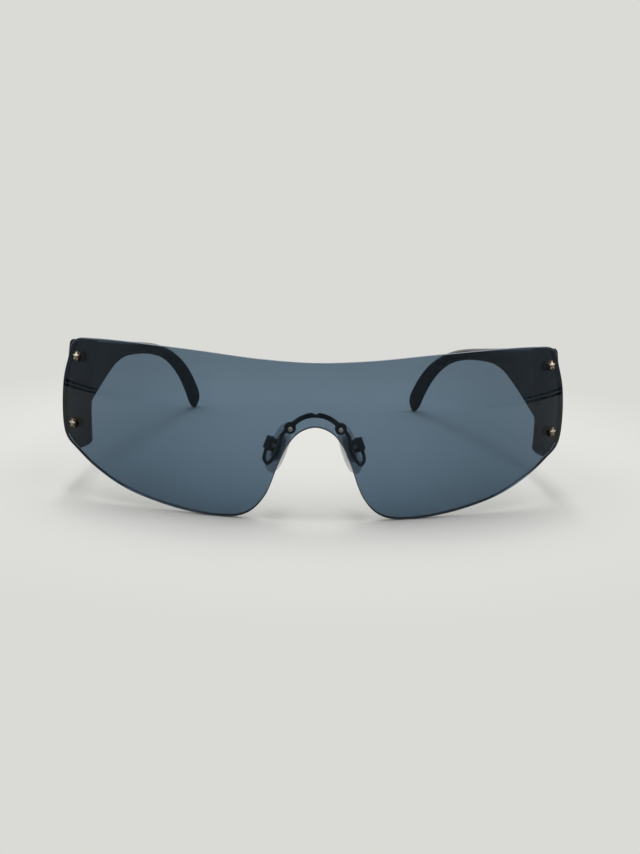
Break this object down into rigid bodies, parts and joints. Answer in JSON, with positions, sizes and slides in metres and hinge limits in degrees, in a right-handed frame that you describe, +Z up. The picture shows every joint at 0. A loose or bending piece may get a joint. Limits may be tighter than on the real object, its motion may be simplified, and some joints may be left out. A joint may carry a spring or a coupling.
{
  "type": "shield sunglasses",
  "caption": "Wraparound shield sunglasses: one-piece tinted lens, star-headed screws, folding black temples and a sprung nose piece with clear pads.",
  "frame": {"origin": "middle of the bounding box at the table, on the plane of symmetry", "axes": "+X towards the wearer's left, +Y back to the ears, -Y the way the wearer looks, +Z up; the glasses stand open on the lens's two lobes and on the temple tips"},
  "size_m": [0.142, 0.1738, 0.0463],
  "materials": {
    "lens_tint": "polished smoke blue-grey tint, see-through",
    "black_plastic": "satin to gloss black injection-moulded plastic",
    "pale_gold": "pale gold plate, polished",
    "steel": "plain nickel silver",
    "clear_plastic": "clear nylon",
    "black_metal": "semi-gloss black plating",
    "clear_silicone": "clear silicone",
    "core_plastic": "dark moulded core"
  },
  "bodies": {
    "front": {"shield_lens": "lens_tint", "endpiece_left": "black_plastic", "endpiece_right": "black_plastic", "star_screws": "pale_gold", "star_sleeves": "clear_plastic", "star_nuts": "pale_gold", "front_leaf_left": "steel", "front_leaf_right": "steel", "hinge_screw_left": "steel", "hinge_screw_right": "steel", "nose_bridge": "black_metal", "bridge_screws": "steel", "bridge_washers": "clear_plastic", "bridge_nuts": "black_metal", "pad_arm_left": "black_metal", "pad_arm_right": "black_metal", "pad_box_left": "black_metal", "pad_box_right": "black_metal", "pad_screw_left": "steel", "pad_screw_right": "steel"},
    "temple_left": {"temple_left": "black_plastic", "temple_leaf_left": "steel"},
    "temple_right": {"temple_right": "black_plastic", "temple_leaf_right": "steel"},
    "pad_left": {"nose_pad_left": "clear_silicone", "pad_core_left": "core_plastic"},
    "pad_right": {"nose_pad_right": "clear_silicone", "pad_core_right": "core_plastic"}
  },
  "joints": [
    {"name": "temple_fold_left", "type": "hinge", "parent": "front", "child": "temple_left", "pos_m": [0.06568, -0.0447, 0.0285], "axis": [0, 0, 1], "range_deg": [0, 82]},
    {"name": "temple_fold_right", "type": "hinge", "parent": "front", "child": "temple_right", "pos_m": [-0.06568, -0.0447, 0.0285], "axis": [0, 0, -1], "range_deg": [0, 74]},
    {"name": "pad_rock_left", "type": "hinge", "parent": "front", "child": "pad_left", "pos_m": [0.01173, -0.07552, 0.02008], "axis": [0.4698, 0.866, 0.171], "range_deg": [-10, 10]},
    {"name": "pad_rock_right", "type": "hinge", "parent": "front", "child": "pad_right", "pos_m": [-0.01173, -0.07552, 0.02008], "axis": [0.4698, -0.866, -0.171], "range_deg": [-10, 10]}
  ]
}
